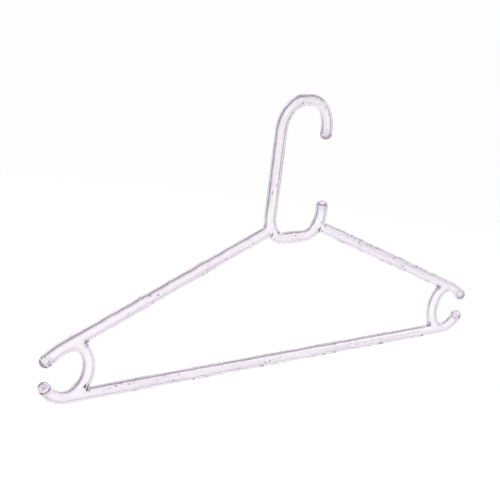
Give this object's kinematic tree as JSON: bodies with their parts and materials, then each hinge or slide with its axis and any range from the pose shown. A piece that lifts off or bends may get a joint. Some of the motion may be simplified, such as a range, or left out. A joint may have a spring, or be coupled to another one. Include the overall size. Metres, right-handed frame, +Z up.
{
  "type": "clothes hanger",
  "caption": "Clear tubular clothes hanger with an open hook, a cup under the hook for linking another hanger, a trouser bar and an open strap ring at each end.",
  "frame": {"origin": "bottom centre of the bounding box: midway between the strap rings, in the plane of the tubes, at the underside of the trouser bar", "axes": "+X along the trouser bar towards the side the hook's tip is on, +Y to the back, +Z up towards the hook"},
  "size_m": [0.4246, 0.008, 0.184],
  "materials": {
    "clear_tube": "gloss, see-through, faintly violet",
    "clear_plug": "gloss, see-through, faintly violet"
  },
  "bodies": {
    "root": {"hook_neck_tube": "clear_tube", "left_shoulder_tube": "clear_tube", "right_shoulder_tube": "clear_tube", "trouser_bar_tube": "clear_tube", "left_ring_arc": "clear_tube", "right_ring_arc": "clear_tube", "hook_tip_plug": "clear_plug", "neck_tip_plug": "clear_plug", "upper_left_jaw_plug": "clear_plug", "lower_left_jaw_plug": "clear_plug", "upper_right_jaw_plug": "clear_plug", "lower_right_jaw_plug": "clear_plug"}
  },
  "joints": []
}
